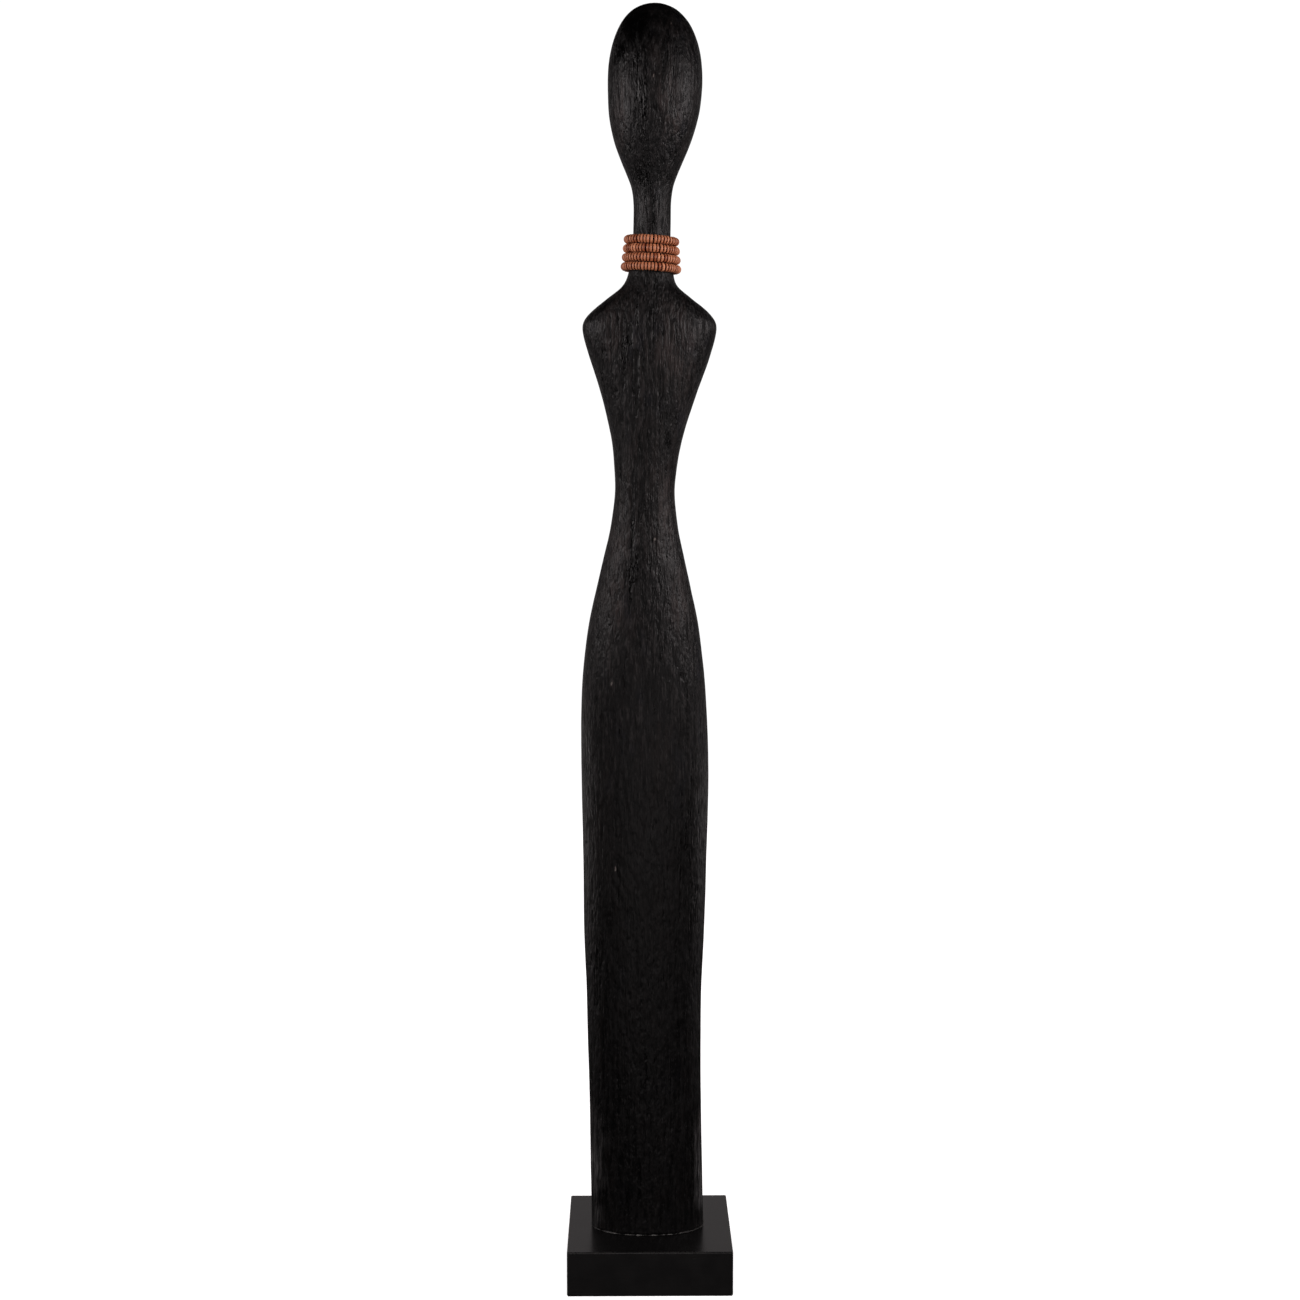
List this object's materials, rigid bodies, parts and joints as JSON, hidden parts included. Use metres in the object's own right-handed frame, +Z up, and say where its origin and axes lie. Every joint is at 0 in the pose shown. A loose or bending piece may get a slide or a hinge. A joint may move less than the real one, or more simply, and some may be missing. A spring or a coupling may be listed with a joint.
{
  "type": "carved ancestor figure",
  "caption": "Tall slender faceless figure carved in black-stained wood, on a square painted plinth, with rows of brown disc beads round its neck.",
  "frame": {"origin": "on the ground, under the middle of the plinth", "axes": "+Z up the figure, -Y the way it faces, +X to the right of someone looking at it"},
  "size_m": [0.13, 0.13, 1],
  "materials": {
    "stained_wood": "matt black stain on wire-brushed wood, grain running up and down",
    "painted_wood": "satin black paint",
    "zinc_steel": "zinc-plated steel",
    "dried_glue": "dried wood glue, dusty grey",
    "felt": "pressed black felt",
    "coconut_shell": "ground coconut shell, satin",
    "thread": "waxed twisted cotton"
  },
  "bodies": {
    "figure": {"carved_figure": "stained_wood", "plinth": "painted_wood", "plinth_screws": "zinc_steel", "glue_line": "dried_glue", "felt_sheet": "felt"},
    "threads": {"thread_row_1": "thread", "thread_row_2": "thread", "thread_row_3": "thread", "thread_row_4": "thread"},
    "row_1": {"beads_row_1": "coconut_shell"},
    "row_2": {"beads_row_2": "coconut_shell"},
    "row_3": {"beads_row_3": "coconut_shell"},
    "row_4": {"beads_row_4": "coconut_shell"}
  },
  "joints": [
    {"name": "necklace_slide", "type": "slide", "parent": "figure", "child": "threads", "axis": [0.022, 0, 0.9998], "range_m": [0, 0.022]},
    {"name": "row_1_turn", "type": "hinge", "parent": "threads", "child": "row_1", "pos_m": [0.00176, 0, 0.8205], "axis": [0.0576, 0, 0.9983], "continuous": true},
    {"name": "row_2_turn", "type": "hinge", "parent": "threads", "child": "row_2", "pos_m": [0.00161, 0, 0.8135], "axis": [0.0576, 0, 0.9983], "continuous": true},
    {"name": "row_3_turn", "type": "hinge", "parent": "threads", "child": "row_3", "pos_m": [0.00145, 0, 0.8065], "axis": [0.0576, 0, 0.9983], "continuous": true},
    {"name": "row_4_turn", "type": "hinge", "parent": "threads", "child": "row_4", "pos_m": [0.0013, 0, 0.7995], "axis": [0.0576, 0, 0.9983], "continuous": true}
  ]
}
